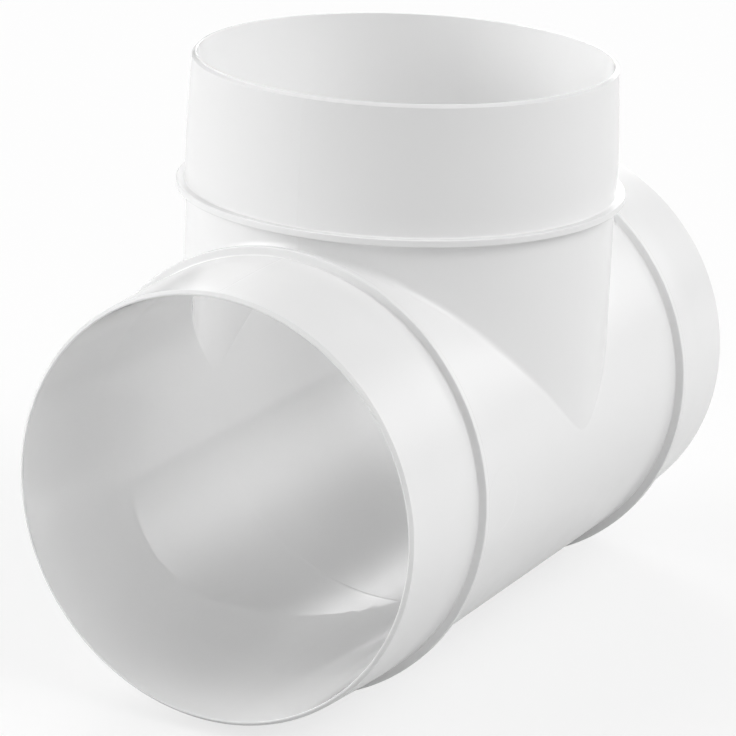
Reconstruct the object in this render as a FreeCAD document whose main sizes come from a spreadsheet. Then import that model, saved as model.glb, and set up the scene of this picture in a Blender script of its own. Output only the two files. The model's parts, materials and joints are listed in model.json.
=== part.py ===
"""Moulded plastic duct tee: three equal legs that share one bore, each ending in a tapered spigot with a stop ring.

The run lies along X and the branch stands along +Z. The two axes cross at the origin, and lengths are in millimetres.
The whole tee is one injection moulding, so it is one solid: tee_body.
"""
import FreeCAD, Part
import math
import os
import sys
import Sketcher
from FreeCAD import Vector

SIZES = {
    # Bores
    "bore_radius": 70.8,            # run bore between the rings
    "bore_draft": 0.6,              # how much wider each bore is at its mouth, for the core that leaves there
    "branch_bore_relief": 0.06,     # how much smaller the branch bore is, so that the inner edge is one smooth loop
    # Walls
    "wall": 3.5,
    "branch_relief": 0.3,           # how much smaller the branch is than the run outside, so that its root blends
    "neck": 6.2,                    # from the run's outside to the branch's ring, and the same on the other legs
    # Spigots
    "spigot_length": 44.0,          # from the mouth to the stop ring
    "land_length": 14.0,            # straight stretch that holds the duct, beside the ring
    "land_rise": 0.2,               # how far the land stands above the run's outside
    "mouth_wall": 1.6,              # thin end of the taper that leads the duct on
    "mouth_bevel": 1.0,             # bevel on the mouth's outer edge
    # Stop rings
    "ring_rise": 2.9,               # how far the ring stands above the land
    "ring_thickness": 2.5,
    "ring_bevel": 0.4,              # bevel on the ring's outer edge, on the mouth's side
    # Blends where the branch meets the run
    "outer_blend": 3.0,
    "inner_blend": 1.5,
}

# Sizes worked out from the sheet
RUN_RADIUS = "(sizes.bore_radius + sizes.wall)"
BRANCH_RADIUS = f"({RUN_RADIUS} - sizes.branch_relief)"
BRANCH_BORE_RADIUS = "(sizes.bore_radius - sizes.branch_bore_relief)"
LAND_RADIUS = f"({RUN_RADIUS} + sizes.land_rise)"
RING_RADIUS = f"({LAND_RADIUS} + sizes.ring_rise)"
MOUTH_BORE_RADIUS = "(sizes.bore_radius + sizes.bore_draft)"
MOUTH_RADIUS = f"({MOUTH_BORE_RADIUS} + sizes.mouth_wall)"
MOUTH_BEVEL = "min(sizes.mouth_bevel; 0.65 * sizes.mouth_wall)"
RING_BACK = f"({RUN_RADIUS} + sizes.neck)"
RING_FACE = f"({RING_BACK} + sizes.ring_thickness)"
LEG_LENGTH = f"({RING_FACE} + sizes.spigot_length)"

NODE = "tee_body"
CUT_OVERRUN = 5.0                   # how far a bore's cutter runs past the mouth
ON_EDGE = 0.02                      # how near a saddle edge lies to the two cylinders that make it


def build_sheet(document):
    """The driving sizes, one aliased cell each."""
    sheet = document.addObject("Spreadsheet::Sheet", "sizes")
    for row, (alias, value) in enumerate(SIZES.items(), start=1):
        sheet.set(f"A{row}", alias)
        sheet.set(f"B{row}", str(value))
        sheet.setAlias(f"B{row}", alias)
    document.recompute()


def origin_feature(body, role):
    return next(feature for feature in body.Origin.OriginFeatures if feature.Role == role)


def closed_outline(body, name, corners):
    """A sketch on the XZ plane whose straight sides join the corners.

    Each corner is a pair of expressions over the sheet, and the text "0" keeps that corner on the axis.
    """
    sketch = body.newObject("Sketcher::SketchObject", name)
    sketch.AttachmentSupport = (origin_feature(body, "XZ_Plane"), [""])
    sketch.MapMode = "FlatFace"
    values = [tuple(evaluate(sketch, text) for text in corner) for corner in corners]
    count = len(corners)
    for i in range(count):
        start, end = (Vector(*values[j % count], 0) for j in (i, i + 1))
        sketch.addGeometry(Part.LineSegment(start, end), False)
    for i in range(count):
        sketch.addConstraint(Sketcher.Constraint("Coincident", i, 2, (i + 1) % count, 1))
    for i, corner in enumerate(corners):
        across, up = corner
        place(sketch, i, "DistanceX", -2, f"across_{i}", across, values[i][0])
        place(sketch, i, "DistanceY", -1, f"up_{i}", up, values[i][1])
    return sketch


def evaluate(item, text):
    """The number that an expression over the sheet has now."""
    return float(item.evalExpression(text))


def place(sketch, line, kind, axis, name, text, value):
    """Holds the start of a line on an axis, or at a named distance from the origin."""
    if text == "0":
        sketch.addConstraint(Sketcher.Constraint("PointOnObject", line, 1, axis))
        return
    index = sketch.addConstraint(Sketcher.Constraint(kind, -1, 1, line, 1, value))
    sketch.renameConstraint(index, name)
    sketch.setExpression(f"Constraints.{name}", text)


def turned(body, kind, name, sketch, axis):
    """A full turn of a sketch about its own horizontal or vertical axis, added or cut away."""
    feature = body.newObject(kind, name)
    feature.Profile = sketch
    feature.ReferenceAxis = (sketch, [axis])
    feature.Angle = 360.0
    feature.Refine = True
    return feature


def mirrored(body, name, feature):
    """The same feature on the other side of the YZ plane."""
    mirror = body.newObject("PartDesign::Mirrored", name)
    mirror.Originals = [feature]
    mirror.MirrorPlane = (origin_feature(body, "YZ_Plane"), [""])
    mirror.Refine = True
    body.Tip = mirror
    return mirror


def leg_corners(body_radius):
    """Half section of one leg's outside, as (distance along the leg, radius)."""
    return [
        ("0", "0"),
        ("0", body_radius),
        (RING_BACK, body_radius),
        (RING_BACK, RING_RADIUS),
        (f"{RING_FACE} - sizes.ring_bevel", RING_RADIUS),
        (RING_FACE, f"{RING_RADIUS} - sizes.ring_bevel"),
        (RING_FACE, LAND_RADIUS),
        (f"{RING_FACE} + sizes.land_length", LAND_RADIUS),
        (f"{LEG_LENGTH} - {MOUTH_BEVEL}", MOUTH_RADIUS),
        (LEG_LENGTH, f"{MOUTH_RADIUS} - {MOUTH_BEVEL}"),
        (LEG_LENGTH, "0"),
    ]


def bore_corners(bore_radius):
    """Half section of one leg's bore, which runs past the mouth so that it cuts through."""
    past_mouth = f"{LEG_LENGTH} + {CUT_OVERRUN}"
    return [
        ("0", "0"),
        ("0", bore_radius),
        (RING_FACE, bore_radius),
        (LEG_LENGTH, MOUTH_BORE_RADIUS),
        (past_mouth, MOUTH_BORE_RADIUS),
        (past_mouth, "0"),
    ]


def stood_up(corners):
    """The same section with its length along Z."""
    return [(radius, along) for along, radius in corners]


def saddle_edges(shape, across_run, across_branch):
    """Names of the edges that lie on both the run's and the branch's cylinders."""
    names = []
    for number, edge in enumerate(shape.Edges, start=1):
        middle = edge.valueAt((edge.FirstParameter + edge.LastParameter) / 2)
        off_run = abs(math.hypot(middle.y, middle.z) - across_run)
        off_branch = abs(math.hypot(middle.x, middle.y) - across_branch)
        if off_run < ON_EDGE and off_branch < ON_EDGE:
            names.append(f"Edge{number}")
    if not names:
        sys.exit(f"no saddle edge at radii {across_run} and {across_branch}")
    return names


def blended(body, name, base, run_expression, branch_expression, radius_expression):
    """A fillet along the saddle edge of the run's and the branch's cylinders."""
    body.Document.recompute()
    across_run, across_branch = (evaluate(base, text) for text in (run_expression, branch_expression))
    fillet = body.newObject("PartDesign::Fillet", name)
    fillet.Base = (base, saddle_edges(base.Shape, across_run, across_branch))
    fillet.setExpression("Radius", radius_expression)
    fillet.Refine = True
    return fillet


def build_tee(document):
    """One moulding: two legs of the run, the branch, the blends and the bores that meet inside."""
    body = document.addObject("PartDesign::Body", NODE)
    body.Label = NODE

    leg_section = closed_outline(body, "leg_section", leg_corners(RUN_RADIUS))
    leg = turned(body, "PartDesign::Revolution", "leg_outside", leg_section, "H_Axis")
    mirrored(body, "run_outside", leg)
    branch_section = closed_outline(body, "branch_section", stood_up(leg_corners(BRANCH_RADIUS)))
    branch = turned(body, "PartDesign::Revolution", "branch_outside", branch_section, "V_Axis")
    outside = blended(body, "outer_saddle", branch, RUN_RADIUS, BRANCH_RADIUS, "sizes.outer_blend")

    bore_section = closed_outline(body, "bore_section", bore_corners("sizes.bore_radius"))
    half_bore = turned(body, "PartDesign::Groove", "half_run_bore", bore_section, "H_Axis")
    run_bore = mirrored(body, "run_bore", half_bore)
    branch_bore_section = closed_outline(
        body, "branch_bore_section", stood_up(bore_corners(BRANCH_BORE_RADIUS)))
    hollow = turned(body, "PartDesign::Groove", "branch_bore", branch_bore_section, "V_Axis")
    blended(body, "inner_saddle", hollow, "sizes.bore_radius", BRANCH_BORE_RADIUS, "sizes.inner_blend")
    document.recompute()
    check_cut(outside, run_bore)
    check_cut(run_bore, hollow)
    return body


def check_cut(before, after):
    """A groove that cuts nothing leaves the volume as it was."""
    if after.Shape.Volume >= before.Shape.Volume:
        sys.exit(f"{after.Name} cut nothing away")


def check_document(document, bodies):
    """Stops before anything is written if an object failed or a shape is not one sound solid."""
    for item in document.Objects:
        if "Invalid" in item.State or "Error" in item.State:
            sys.exit(f"{item.Name} is {item.State}")
    for body in bodies:
        if body.Shape.isNull() or not body.Shape.isValid() or len(body.Shape.Solids) != 1:
            sys.exit(f"{body.Label} is not one valid solid")


def main():
    os.makedirs("parts", exist_ok=True)
    document = FreeCAD.newDocument("duct_tee")
    build_sheet(document)
    bodies = [build_tee(document)]
    check_document(document, bodies)
    for body in bodies:
        body.Shape.exportStep(os.path.join("parts", f"{body.Label}.step"))
        box = body.Shape.BoundBox
        print(f"{body.Label}: {box.XLength:.2f} x {box.YLength:.2f} x {box.ZLength:.2f} mm, "
              f"{body.Shape.Volume / 1000:.1f} cm3, {len(body.Shape.Faces)} faces")


main()
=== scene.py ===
"""Looks of a moulded plastic duct tee: its skin as one fine mesh, its white plastic, and the studio it stands in.

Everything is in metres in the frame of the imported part: the run lies along X, the branch stands along +Z, and the
centre lines of the three legs cross at the origin.
"""
import json

import bmesh
import bpy
import numpy as np
from mathutils import Matrix, Vector


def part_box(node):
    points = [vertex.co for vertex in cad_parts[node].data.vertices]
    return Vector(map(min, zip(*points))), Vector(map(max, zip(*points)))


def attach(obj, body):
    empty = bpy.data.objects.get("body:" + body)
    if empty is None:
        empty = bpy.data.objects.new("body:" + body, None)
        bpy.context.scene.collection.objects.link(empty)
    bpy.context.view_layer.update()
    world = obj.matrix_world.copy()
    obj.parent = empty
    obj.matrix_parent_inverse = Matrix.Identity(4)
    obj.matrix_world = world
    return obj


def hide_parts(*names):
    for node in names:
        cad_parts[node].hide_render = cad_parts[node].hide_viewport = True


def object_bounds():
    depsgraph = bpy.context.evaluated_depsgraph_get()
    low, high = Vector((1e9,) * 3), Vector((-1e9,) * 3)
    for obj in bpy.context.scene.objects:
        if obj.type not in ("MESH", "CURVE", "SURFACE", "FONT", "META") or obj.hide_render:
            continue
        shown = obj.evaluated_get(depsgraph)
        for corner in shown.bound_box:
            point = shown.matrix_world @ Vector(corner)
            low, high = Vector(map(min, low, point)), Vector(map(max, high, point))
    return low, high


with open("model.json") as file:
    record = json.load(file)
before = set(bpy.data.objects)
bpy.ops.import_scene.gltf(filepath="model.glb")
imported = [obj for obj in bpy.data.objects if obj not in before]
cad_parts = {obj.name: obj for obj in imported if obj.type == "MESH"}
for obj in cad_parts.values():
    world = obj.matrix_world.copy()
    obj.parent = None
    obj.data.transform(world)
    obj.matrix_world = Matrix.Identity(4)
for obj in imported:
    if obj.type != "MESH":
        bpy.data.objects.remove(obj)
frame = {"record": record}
cad_low, cad_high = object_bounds()

MM = 0.001
NODE = "tee_body"


# Sizes that the frame gives

spigot_mount = next(mount for mount in frame["record"]["mounts"] if mount["name"] == "branch_spigot")
LAND_RADIUS = spigot_mount["dims"]["r_mm"] * MM
LAND_LENGTH = spigot_mount["dims"]["length_mm"] * MM
LEG_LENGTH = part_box(NODE)[1].x
RING_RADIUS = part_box(NODE)[1].y

# Sizes of the moulding

RUN_RADIUS = LAND_RADIUS - 0.2 * MM
BRANCH_RADIUS = RUN_RADIUS - 0.3 * MM
BORE_RADIUS = RUN_RADIUS - 3.5 * MM
BETWEEN_SKINS = (BORE_RADIUS + RUN_RADIUS) / 2
MOUTH_BORE_RADIUS = BORE_RADIUS + 0.6 * MM
MOUTH_RADIUS = MOUTH_BORE_RADIUS + 1.6 * MM
MOUTH_BEVEL = 1.0 * MM
RING_FACE = LEG_LENGTH - 44.0 * MM
RING_BACK = RING_FACE - 2.5 * MM
OUTER_BLEND = 3.0 * MM
INNER_BLEND = 1.6 * MM

# Small rounds that the moulding's corners have, and the slow bend where a wall starts to taper

RING_ROOT = 0.5 * MM
RING_EDGE = 0.4 * MM
MOUTH_EDGE = 0.2 * MM
RIM_INNER_EDGE = 0.25 * MM
TAPER_BEND = 150.0 * MM

# The collar is the end of a leg, from just behind the stop ring to the mouth

COLLAR_START = RING_BACK - RING_ROOT - 0.7 * MM

# Marks that the mould leaves

SEAM_HEIGHT = 0.06 * MM
SEAM_WIDTH = 0.15 * MM
CORE_STEP = 0.15 * MM
CORE_STEP_WIDTH = 0.6 * MM
WITNESS_ALONG = -64.5 * MM
WITNESS_RADIUS = 11.2 * MM
WITNESS_EDGE = 0.6 * MM
WITNESS_DEPTH = 0.03 * MM

# Finish of the plastic: its least and most roughness on each side of the wall, and the size of what varies over it

CORE_ROUGHNESS = (0.005, 0.02)
CAVITY_ROUGHNESS = (0.22, 0.28)
POLISH_SIZE = 9 * MM
FLOW_SIZE = 60 * MM
WAVE_SIZE = 35 * MM
WAVE_DEPTH = 0.04 * MM
ABS_IOR = 1.53

# Fineness of the mesh

STEPS_PER_QUADRANT = 64
BLEND_STEPS = 7
ARC_STEPS = 3
EVEN_STEPS = 8
BESIDE_SEAM = np.array([0.0, 0.1, 0.2, 0.35, 0.7]) * MM
BESIDE_BLEND = np.array([0.0, 0.15, 0.35, 0.8, 1.6]) * MM
SHORT_STEP = 0.15 * MM
LONGEST_STEP = 11 * MM
SAME_POINT = 0.002 * MM

# Table

TABLE_HALF_WIDTH = 12.0
TABLE_SCATTERING = "C0C0C0"
GLOW_IN_VIEW = 0.7
GLOW_IN_REFLECTIONS = 0.1

# Soft lamps behind the tent's walls: azimuth from +X towards +Y and elevation in degrees, half width in degrees,
# and strength, where 1 is white. The level is the brightness of the cloth between them.

TENT_LAMPS = {
    "left": (121, 17, 20, 6.9),
    "behind": (35, 33, 11, 8.9),
    "far_end": (12, 6, 10, 7.8),
    "far_right": (-30, 18, 15, 1.9),
    "low_right": (-75, 25, 16, 2.0),
    "high_right": (-91, 44, 22, 3.6),
    "above": (90, 66, 25, 0.3),
    "front": (-145, 20, 6, 5.0),
}
TENT_LEVEL = 0.05

# The photograph's camera, as found from the rims and rings: its place in metres, its turns in degrees, where the
# heading is from +Y towards -X, and its lens on a sensor in millimetres

CAMERA_PLACE = (-1.0652, -0.5320, 0.3870)
CAMERA_HEADING = -63.04
CAMERA_ELEVATION = 17.35
CAMERA_ROLL = 2.24
CAMERA_LENS = 174.0
CAMERA_SENSOR = 36.0
NEAREST_SEEN = 0.05
FARTHEST_SEEN = 50.0


# Outlines

def quadrant_angles():
    """Angles from 0 to 90 degrees away from the seam: short steps beside it, then even ones."""
    even = np.linspace(0, np.pi / 2, STEPS_PER_QUADRANT + 1)
    return np.concatenate([BESIDE_SEAM / RUN_RADIUS, even[2:]])


def filled(start, end):
    """Points of a straight stretch without its start: a short step at each end, and even steps between them.

    A stretch too short for that has only its end.
    """
    length = np.linalg.norm(end - start)
    if length < 3 * SHORT_STEP:
        return [end]
    count = int(np.ceil((length - 2 * SHORT_STEP) / LONGEST_STEP)) + 1
    along = np.append(np.linspace(SHORT_STEP, length - SHORT_STEP, count), length)
    return [start + (end - start) * distance / length for distance in along]


def rounded(corners):
    """Rows of (along, radius) through the corners (along, radius, rounding), each an arc tangent to its two sides.

    An arc starts and ends rounding x tan(turn / 2) from its corner, and its centre lies rounding / cos(turn / 2) from
    the corner on the line that halves it.
    """
    points = [np.array(corner[:2]) for corner in corners]
    rows = [points[0]]
    for before, corner, after, (_, _, rounding) in zip(points, points[1:], points[2:], corners[1:]):
        into = (corner - before) / np.linalg.norm(corner - before)
        out = (after - corner) / np.linalg.norm(after - corner)
        turn = np.arctan2(into[0] * out[1] - into[1] * out[0], into @ out)
        reach = rounding * abs(np.tan(turn / 2))
        halving = (out - into) / np.linalg.norm(out - into)
        centre = corner + halving * rounding / np.cos(turn / 2)
        spoke = corner - into * reach - centre
        rows += filled(rows[-1], centre + spoke)
        for part in np.linspace(0, turn, ARC_STEPS + 1)[1:]:
            cosine, sine = np.cos(part), np.sin(part)
            turned = np.array([cosine * spoke[0] - sine * spoke[1], sine * spoke[0] + cosine * spoke[1]])
            rows.append(centre + turned)
    return np.array(rows + filled(rows[-1], points[-1]))


def collar_outline(body_radius):
    """Section of a collar: from the body over the stop ring, the land, the taper and the mouth, and down the bore."""
    return rounded([
        (COLLAR_START, body_radius, 0),
        (RING_BACK, body_radius, RING_ROOT),
        (RING_BACK, RING_RADIUS, RING_EDGE),
        (RING_FACE, RING_RADIUS, RING_EDGE),
        (RING_FACE, LAND_RADIUS, RING_ROOT),
        (RING_FACE + LAND_LENGTH, LAND_RADIUS, TAPER_BEND),
        (LEG_LENGTH - MOUTH_BEVEL, MOUTH_RADIUS, MOUTH_EDGE),
        (LEG_LENGTH, MOUTH_RADIUS - MOUTH_BEVEL, MOUTH_EDGE),
        (LEG_LENGTH, MOUTH_BORE_RADIUS, RIM_INNER_EDGE),
        (RING_FACE, BORE_RADIUS, TAPER_BEND),
        (COLLAR_START, BORE_RADIUS, 0),
    ])


# Surfaces, each a grid of points in the quarter of the tee where x and y are positive

def around_run(along, radius, angle):
    """Points at a distance along +X, on a circle about X, at an angle from +Z towards +Y."""
    return np.stack(np.broadcast_arrays(along, radius * np.sin(angle), radius * np.cos(angle)), axis=-1)


def around_branch(along, radius, angle):
    """Points at a height along +Z, on a circle about Z, at an angle from +X towards +Y."""
    return np.stack(np.broadcast_arrays(radius * np.cos(angle), radius * np.sin(angle), along), axis=-1)


def blend_centre(across_run, across_branch, angle):
    """The line that lies across_run from the run's axis and across_branch from the branch's.

    At an angle about the branch it stands sqrt(across_run^2 - (across_branch x sin(angle))^2) high.
    """
    height = np.sqrt(np.maximum(across_run ** 2 - (across_branch * np.sin(angle)) ** 2, 0))
    return around_branch(height, across_branch, angle)


def saddle(run_radius, branch_radius, blend, angle):
    """The rounded edge where branch and run meet: arcs between the two points where a ball touches both cylinders.

    Each arc's spokes turn evenly from the one that points at the branch's axis to the one that points at the run's.
    """
    centre = blend_centre(run_radius + blend, branch_radius + blend, angle)
    to_branch = -around_branch(0, 1, angle)
    to_run = -centre * [0, 1, 1] / (run_radius + blend)
    part = np.linspace(0, 1, BLEND_STEPS + 1)[:, None, None]
    spoke = (1 - part) * to_branch + part * to_run
    return centre + blend * spoke / np.linalg.norm(spoke, axis=-1, keepdims=True)


def steps_to_collar(start):
    """Distances from a blend's edge to the collar, a row for each step: short steps first, then even ones."""
    short = start + BESIDE_BLEND[:, None]
    part = np.linspace(0, 1, EVEN_STEPS + 1)[1:, None]
    return np.vstack([short, short[-1] + (COLLAR_START - short[-1]) * part])


def branch_wall(run_radius, branch_radius, blend, angle):
    """The branch's cylinder, from the saddle up to its collar."""
    start = blend_centre(run_radius + blend, branch_radius + blend, angle)[:, 2]
    return around_branch(steps_to_collar(start), branch_radius, angle)


def run_wall(run_radius, branch_radius, blend, angle):
    """The run's cylinder, from the saddle, or below it from the middle of the run, to its collar.

    The saddle's edge meets the rows at sin(turn) = (branch_radius + blend) / (run_radius + blend) x sin(angle), and
    the rows below it share out the rest of the half turn. Each row slides round to its own angle at the collar.
    """
    ratio = (branch_radius + blend) / (run_radius + blend)
    tip = np.arcsin(ratio)
    above = angle <= np.pi / 2
    above_turn = np.arcsin(ratio * np.sin(np.minimum(angle, np.pi / 2)))
    below_turn = tip + (angle - np.pi / 2) * (np.pi - tip) / (np.pi / 2)
    turn = np.where(above, above_turn, below_turn)
    start = np.where(above, (branch_radius + blend) * np.cos(angle), 0)
    along = steps_to_collar(start)
    slide = (along - start) / (COLLAR_START - start)
    return around_run(along, run_radius, turn + (angle - turn) * slide)


def skin_grids():
    """Every surface of the tee in one quarter, the outside and the bores."""
    quadrant = quadrant_angles()
    half_turn = np.concatenate([quadrant, np.pi - quadrant[-2::-1]])
    run_along, run_radius = collar_outline(RUN_RADIUS).T[:, :, None]
    branch_along, branch_radius = collar_outline(BRANCH_RADIUS).T[:, :, None]
    grids = [around_run(run_along, run_radius, half_turn), around_branch(branch_along, branch_radius, quadrant)]
    for run, branch, blend in ((RUN_RADIUS, BRANCH_RADIUS, OUTER_BLEND), (BORE_RADIUS, BORE_RADIUS, INNER_BLEND)):
        grids.append(saddle(run, branch, blend, quadrant))
        grids.append(branch_wall(run, branch, blend, quadrant))
        grids.append(run_wall(run, branch, blend, half_turn))
    return grids


# Mesh

def grid_faces(rows, columns, first):
    """Quads of a grid whose points are numbered row by row from first."""
    corner = first + np.arange((rows - 1) * columns).reshape(rows - 1, columns)[:, :-1].ravel()
    return np.stack([corner, corner + 1, corner + columns + 1, corner + columns], axis=-1)


def joined(grids):
    """Points and quads of all the grids, and of their mirror images in the planes x = 0 and y = 0."""
    points, faces = [], []
    first = 0
    for mirror in ((1, 1, 1), (-1, 1, 1), (1, -1, 1), (-1, -1, 1)):
        for grid in grids:
            rows, columns = grid.shape[:2]
            points.append((grid * mirror).reshape(-1, 3))
            faces.append(grid_faces(rows, columns, first))
            first += rows * columns
    return np.concatenate(points), np.concatenate(faces)


def closed_mesh(name, points, faces):
    """A smooth mesh with its doubled points merged and its faces turned outwards."""
    mesh = bpy.data.meshes.new(name)
    mesh.from_pydata(points.tolist(), [], faces.tolist())
    work = bmesh.new()
    work.from_mesh(mesh)
    bmesh.ops.remove_doubles(work, verts=work.verts, dist=SAME_POINT)
    bmesh.ops.recalc_face_normals(work, faces=work.faces)
    work.to_mesh(mesh)
    work.free()
    mesh.shade_smooth()
    return mesh


def raise_mould_marks(mesh):
    """Lifts the surface along its normals where the mould leaves a line.

    The seam of the two outer halves runs in the plane y = 0, outside both bores, and is height x
    exp(-(distance / width)^2). The run's two cores met in the plane x = 0, one a little higher than the other. That
    leaves a step on the bore below the branch, as high as (z / radius)^2 of its full height. It falls steeply towards
    -X, and towards +X it dies out evenly up to the collar.
    """
    flat = np.empty(len(mesh.vertices) * 3)
    mesh.vertices.foreach_get("co", flat)
    points = flat.reshape(-1, 3).copy()
    mesh.vertices.foreach_get("normal", flat)
    normals = flat.reshape(-1, 3)
    x, y, z = points.T
    off_run = np.hypot(y, z)
    outside = (off_run > BETWEEN_SKINS) & ((np.hypot(x, y) > BETWEEN_SKINS) | (z < 0))
    on_lower_bore = (off_run < BETWEEN_SKINS) & (z < 0)
    seam = np.where(outside, SEAM_HEIGHT * np.exp(-(y / SEAM_WIDTH) ** 2), 0)
    slope = np.where(x < 0, np.exp(-(x / CORE_STEP_WIDTH) ** 2), np.clip(1 - x / COLLAR_START, 0, 1))
    core_step = np.where(on_lower_bore, CORE_STEP * (z / BORE_RADIUS) ** 2 * slope, 0)
    points += normals * (seam + core_step)[:, None]
    mesh.vertices.foreach_set("co", points.ravel())
    mesh.update()


def mould_tee(material):
    """The whole moulding as one closed mesh, which stands for the solid."""
    mesh = closed_mesh("moulded_tee", *joined(skin_grids()))
    raise_mould_marks(mesh)
    mesh.materials.append(material)
    tee = bpy.data.objects.new("moulded_tee", mesh)
    bpy.context.scene.collection.objects.link(tee)
    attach(tee, "root")
    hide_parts(NODE)


# Materials

def linear(code):
    """An sRGB colour written as six hex digits, as linear red, green, blue and alpha."""
    parts = np.array([int(code[i:i + 2], 16) for i in (0, 2, 4)]) / 255
    values = np.where(parts <= 0.04045, parts / 12.92, ((parts + 0.055) / 1.055) ** 2.4)
    return (*values.tolist(), 1.0)


def add_node(tree, kind, settings=None, **inputs):
    """A node with its settings, and with its inputs set to values or linked to sockets.

    An input is called by its name, with _ for each space, or by _ and its number.
    """
    node = tree.nodes.new(kind)
    for name, value in (settings or {}).items():
        setattr(node, name, value)
    for name, value in inputs.items():
        socket = node.inputs[int(name[1:])] if name[1:].isdigit() else node.inputs[name.replace("_", " ")]
        if isinstance(value, bpy.types.NodeSocket):
            tree.links.new(value, socket)
        else:
            socket.default_value = value
    return node


def empty_material(name):
    """A material without nodes, and the tree that takes them."""
    material = bpy.data.materials.new(name)
    material.use_nodes = True
    material.node_tree.nodes.clear()
    return material, material.node_tree


def inside_bores(tree, place):
    """A socket that is 1 on the side of the wall that the cores shape, and 0 on the outside.

    That side is within BETWEEN_SKINS of the run's axis, or of the branch's axis above the run's.
    """
    near_axis = []
    for across_axis in ((0, 1, 1), (1, 1, 0)):
        across = add_node(tree, "ShaderNodeVectorMath", {"operation": "MULTIPLY"}, _0=place, _1=across_axis)
        distance = add_node(tree, "ShaderNodeVectorMath", {"operation": "LENGTH"}, _0=across.outputs["Vector"])
        near = add_node(tree, "ShaderNodeMath", {"operation": "LESS_THAN"}, _0=distance.outputs["Value"],
                        _1=BETWEEN_SKINS)
        near_axis.append(near.outputs["Value"])
    height = add_node(tree, "ShaderNodeSeparateXYZ", Vector=place).outputs["Z"]
    above_run = add_node(tree, "ShaderNodeMath", {"operation": "GREATER_THAN"}, _0=height, _1=0.0)
    in_branch = add_node(tree, "ShaderNodeMath", {"operation": "MINIMUM"}, _0=near_axis[1],
                         _1=above_run.outputs["Value"])
    in_either = add_node(tree, "ShaderNodeMath", {"operation": "MAXIMUM"}, _0=near_axis[0],
                         _1=in_branch.outputs["Value"])
    return in_either.outputs["Value"]


def beside_witness_disc(tree, place):
    """A socket that is 0 on the disc sunk into the run's -Y side and 1 elsewhere, with a soft edge between."""
    in_plane = add_node(tree, "ShaderNodeVectorMath", {"operation": "MULTIPLY"}, _0=place, _1=(1, 0, 1))
    from_centre = add_node(tree, "ShaderNodeVectorMath", {"operation": "DISTANCE"}, _0=in_plane.outputs["Vector"],
                           _1=(WITNESS_ALONG, 0, 0))
    past_edge = add_node(tree, "ShaderNodeMapRange", {"interpolation_type": "SMOOTHSTEP"},
                         Value=from_centre.outputs["Value"], From_Min=WITNESS_RADIUS - WITNESS_EDGE / 2,
                         From_Max=WITNESS_RADIUS + WITNESS_EDGE / 2)
    across = add_node(tree, "ShaderNodeSeparateXYZ", Vector=place).outputs["Y"]
    other_skin = add_node(tree, "ShaderNodeMath", {"operation": "GREATER_THAN"}, _0=across, _1=-BETWEEN_SKINS)
    beside = add_node(tree, "ShaderNodeMath", {"operation": "MAXIMUM"}, _0=past_edge.outputs["Result"],
                      _1=other_skin.outputs["Value"])
    return beside.outputs["Value"]


def injection_moulded_white_abs():
    """ABS, injection moulded: an even, neutral white, glossy in the bores and satin outside.

    The cores are polished so that the tee draws off them, and the bores mirror what stands behind. The cavity is only
    stoned smooth, which spreads the lamps softly over the outside. The cooling wall is very slightly wavy. A round
    insert in the mould leaves a disc sunk by a few hundredths of a millimetre on the run's -Y side.
    """
    material, tree = empty_material("injection_moulded_white_abs")
    place = add_node(tree, "ShaderNodeTexCoord").outputs["Object"]
    flow = add_node(tree, "ShaderNodeTexNoise", Vector=place, Scale=1 / FLOW_SIZE, Detail=2.0)
    colour = add_node(tree, "ShaderNodeMix", {"data_type": "RGBA"}, Factor=flow.outputs["Fac"],
                      _6=linear("F5F5F5"), _7=linear("F7F7F7"))
    polish = add_node(tree, "ShaderNodeTexNoise", Vector=place, Scale=1 / POLISH_SIZE, Detail=3.0)
    on_cavity, on_cores = (
        add_node(tree, "ShaderNodeMapRange", Value=polish.outputs["Fac"], To_Min=least, To_Max=most)
        for least, most in (CAVITY_ROUGHNESS, CORE_ROUGHNESS))
    roughness = add_node(tree, "ShaderNodeMix", {"data_type": "FLOAT"}, Factor=inside_bores(tree, place),
                         _2=on_cavity.outputs["Result"], _3=on_cores.outputs["Result"])
    wave = add_node(tree, "ShaderNodeTexNoise", Vector=place, Scale=1 / WAVE_SIZE, Detail=1.0)
    waviness = add_node(tree, "ShaderNodeBump", Height=wave.outputs["Fac"], Strength=1.0, Distance=WAVE_DEPTH)
    witness = add_node(tree, "ShaderNodeBump", Height=beside_witness_disc(tree, place), Strength=1.0,
                       Distance=WITNESS_DEPTH, Normal=waviness.outputs["Normal"])
    shader = add_node(tree, "ShaderNodeBsdfPrincipled", Base_Color=colour.outputs["Result"],
                      Roughness=roughness.outputs[0], IOR=ABS_IOR, Normal=witness.outputs["Normal"])
    add_node(tree, "ShaderNodeOutputMaterial", Surface=shader.outputs["BSDF"])
    return material


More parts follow.
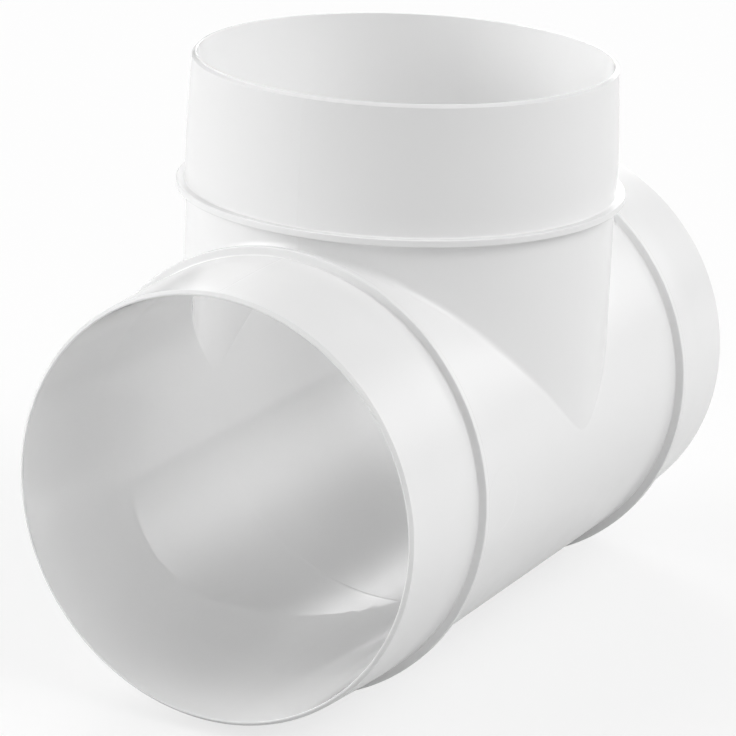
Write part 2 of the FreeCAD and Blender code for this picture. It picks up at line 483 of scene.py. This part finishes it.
def matt_white_acrylic():
    """Acrylic sheet, matt: it shows as a white background, in reflections too, and keeps the tee's shadow.

    A share of the white is its own glow, so that the shadow is faint, more so in view than in reflections. For
    scattered light the sheet is a darker grey, so that the underside of the tee stays shaded.
    """
    material, tree = empty_material("matt_white_acrylic")
    path = add_node(tree, "ShaderNodeLightPath")
    seen = path.outputs["Is Camera Ray"]
    for ray in ("Is Glossy Ray", "Is Transmission Ray"):
        seen = add_node(tree, "ShaderNodeMath", {"operation": "MAXIMUM"}, _0=seen,
                        _1=path.outputs[ray]).outputs["Value"]
    scattering = add_node(tree, "ShaderNodeBsdfDiffuse", Color=linear(TABLE_SCATTERING))
    lit = add_node(tree, "ShaderNodeBsdfDiffuse", Color=linear("F8F8F8"))
    glow = add_node(tree, "ShaderNodeEmission", Color=linear("FFFFFF"), Strength=1.0)
    glow_share = add_node(tree, "ShaderNodeMapRange", Value=path.outputs["Is Camera Ray"],
                          To_Min=GLOW_IN_REFLECTIONS, To_Max=GLOW_IN_VIEW)
    white = add_node(tree, "ShaderNodeMixShader", Fac=glow_share.outputs["Result"], _1=lit.outputs["BSDF"],
                     _2=glow.outputs["Emission"])
    sheet = add_node(tree, "ShaderNodeMixShader", Fac=seen, _1=scattering.outputs["BSDF"],
                     _2=white.outputs["Shader"])
    add_node(tree, "ShaderNodeOutputMaterial", Surface=sheet.outputs["Shader"])
    return material


# Studio

def lay_table(material):
    """A flat square sheet at the height of the tee's lowest point."""
    mesh = bpy.data.meshes.new("table")
    corners = [(-1, -1), (1, -1), (1, 1), (-1, 1)]
    points = [(x * TABLE_HALF_WIDTH, y * TABLE_HALF_WIDTH, cad_low.z) for x, y in corners]
    mesh.from_pydata(points, [], [(0, 1, 2, 3)])
    mesh.materials.append(material)
    table = bpy.data.objects.new("table", mesh)
    bpy.context.scene.collection.objects.link(table)


def direction(azimuth, elevation):
    """The unit vector at an azimuth from +X towards +Y and an elevation, both in degrees."""
    turn, rise = np.radians([azimuth, elevation])
    return (float(np.cos(turn) * np.cos(rise)), float(np.sin(turn) * np.cos(rise)), float(np.sin(rise)))


def light_tent():
    """White cloth all round the table, lit from outside by lamps that show on it as soft bright patches.

    A patch is strength x exp(-(distance / width)^2), with the distance between two directions of length 1.
    """
    world = bpy.data.worlds.new("light_tent")
    bpy.context.scene.world = world
    world.use_nodes = True
    tree = world.node_tree
    tree.nodes.clear()
    view = add_node(tree, "ShaderNodeTexCoord").outputs["Generated"]
    total = TENT_LEVEL
    for azimuth, elevation, half_width, strength in TENT_LAMPS.values():
        apart = add_node(tree, "ShaderNodeVectorMath", {"operation": "DISTANCE"}, _0=view,
                         _1=direction(azimuth, elevation))
        widths = add_node(tree, "ShaderNodeMath", {"operation": "DIVIDE"}, _0=apart.outputs["Value"],
                          _1=float(np.radians(half_width)))
        squared = add_node(tree, "ShaderNodeMath", {"operation": "POWER"}, _0=widths.outputs["Value"], _1=2.0)
        fading = add_node(tree, "ShaderNodeMath", {"operation": "MULTIPLY"}, _0=squared.outputs["Value"], _1=-1.0)
        patch = add_node(tree, "ShaderNodeMath", {"operation": "EXPONENT"}, _0=fading.outputs["Value"])
        total = add_node(tree, "ShaderNodeMath", {"operation": "MULTIPLY_ADD"}, _0=patch.outputs["Value"],
                         _1=strength, _2=total).outputs["Value"]
    light = add_node(tree, "ShaderNodeBackground", Color=linear("FFFFFF"), Strength=total)
    add_node(tree, "ShaderNodeOutputWorld", Surface=light.outputs["Background"])


def place_camera():
    """The photograph's camera: it looks along -back, and its picture is rolled about that line."""
    heading, elevation, roll = np.radians([CAMERA_HEADING, CAMERA_ELEVATION, CAMERA_ROLL])
    back = Vector((np.sin(heading) * np.cos(elevation), -np.cos(heading) * np.cos(elevation), np.sin(elevation)))
    level = Vector((np.cos(heading), np.sin(heading), 0))
    right = level * np.cos(roll) + back.cross(level) * np.sin(roll)
    turned = Matrix((right, back.cross(right), back)).transposed()
    lens = bpy.data.cameras.new("camera")
    lens.lens, lens.sensor_width = CAMERA_LENS, CAMERA_SENSOR
    lens.clip_start, lens.clip_end = NEAREST_SEEN, FARTHEST_SEEN
    camera = bpy.data.objects.new("camera", lens)
    camera.matrix_world = Matrix.Translation(CAMERA_PLACE) @ turned.to_4x4()
    bpy.context.scene.collection.objects.link(camera)
    bpy.context.scene.camera = camera


mould_tee(injection_moulded_white_abs())
lay_table(matt_white_acrylic())
light_tent()
place_camera()
bpy.context.scene.view_settings.view_transform = "Standard"

bpy.context.view_layer.update()
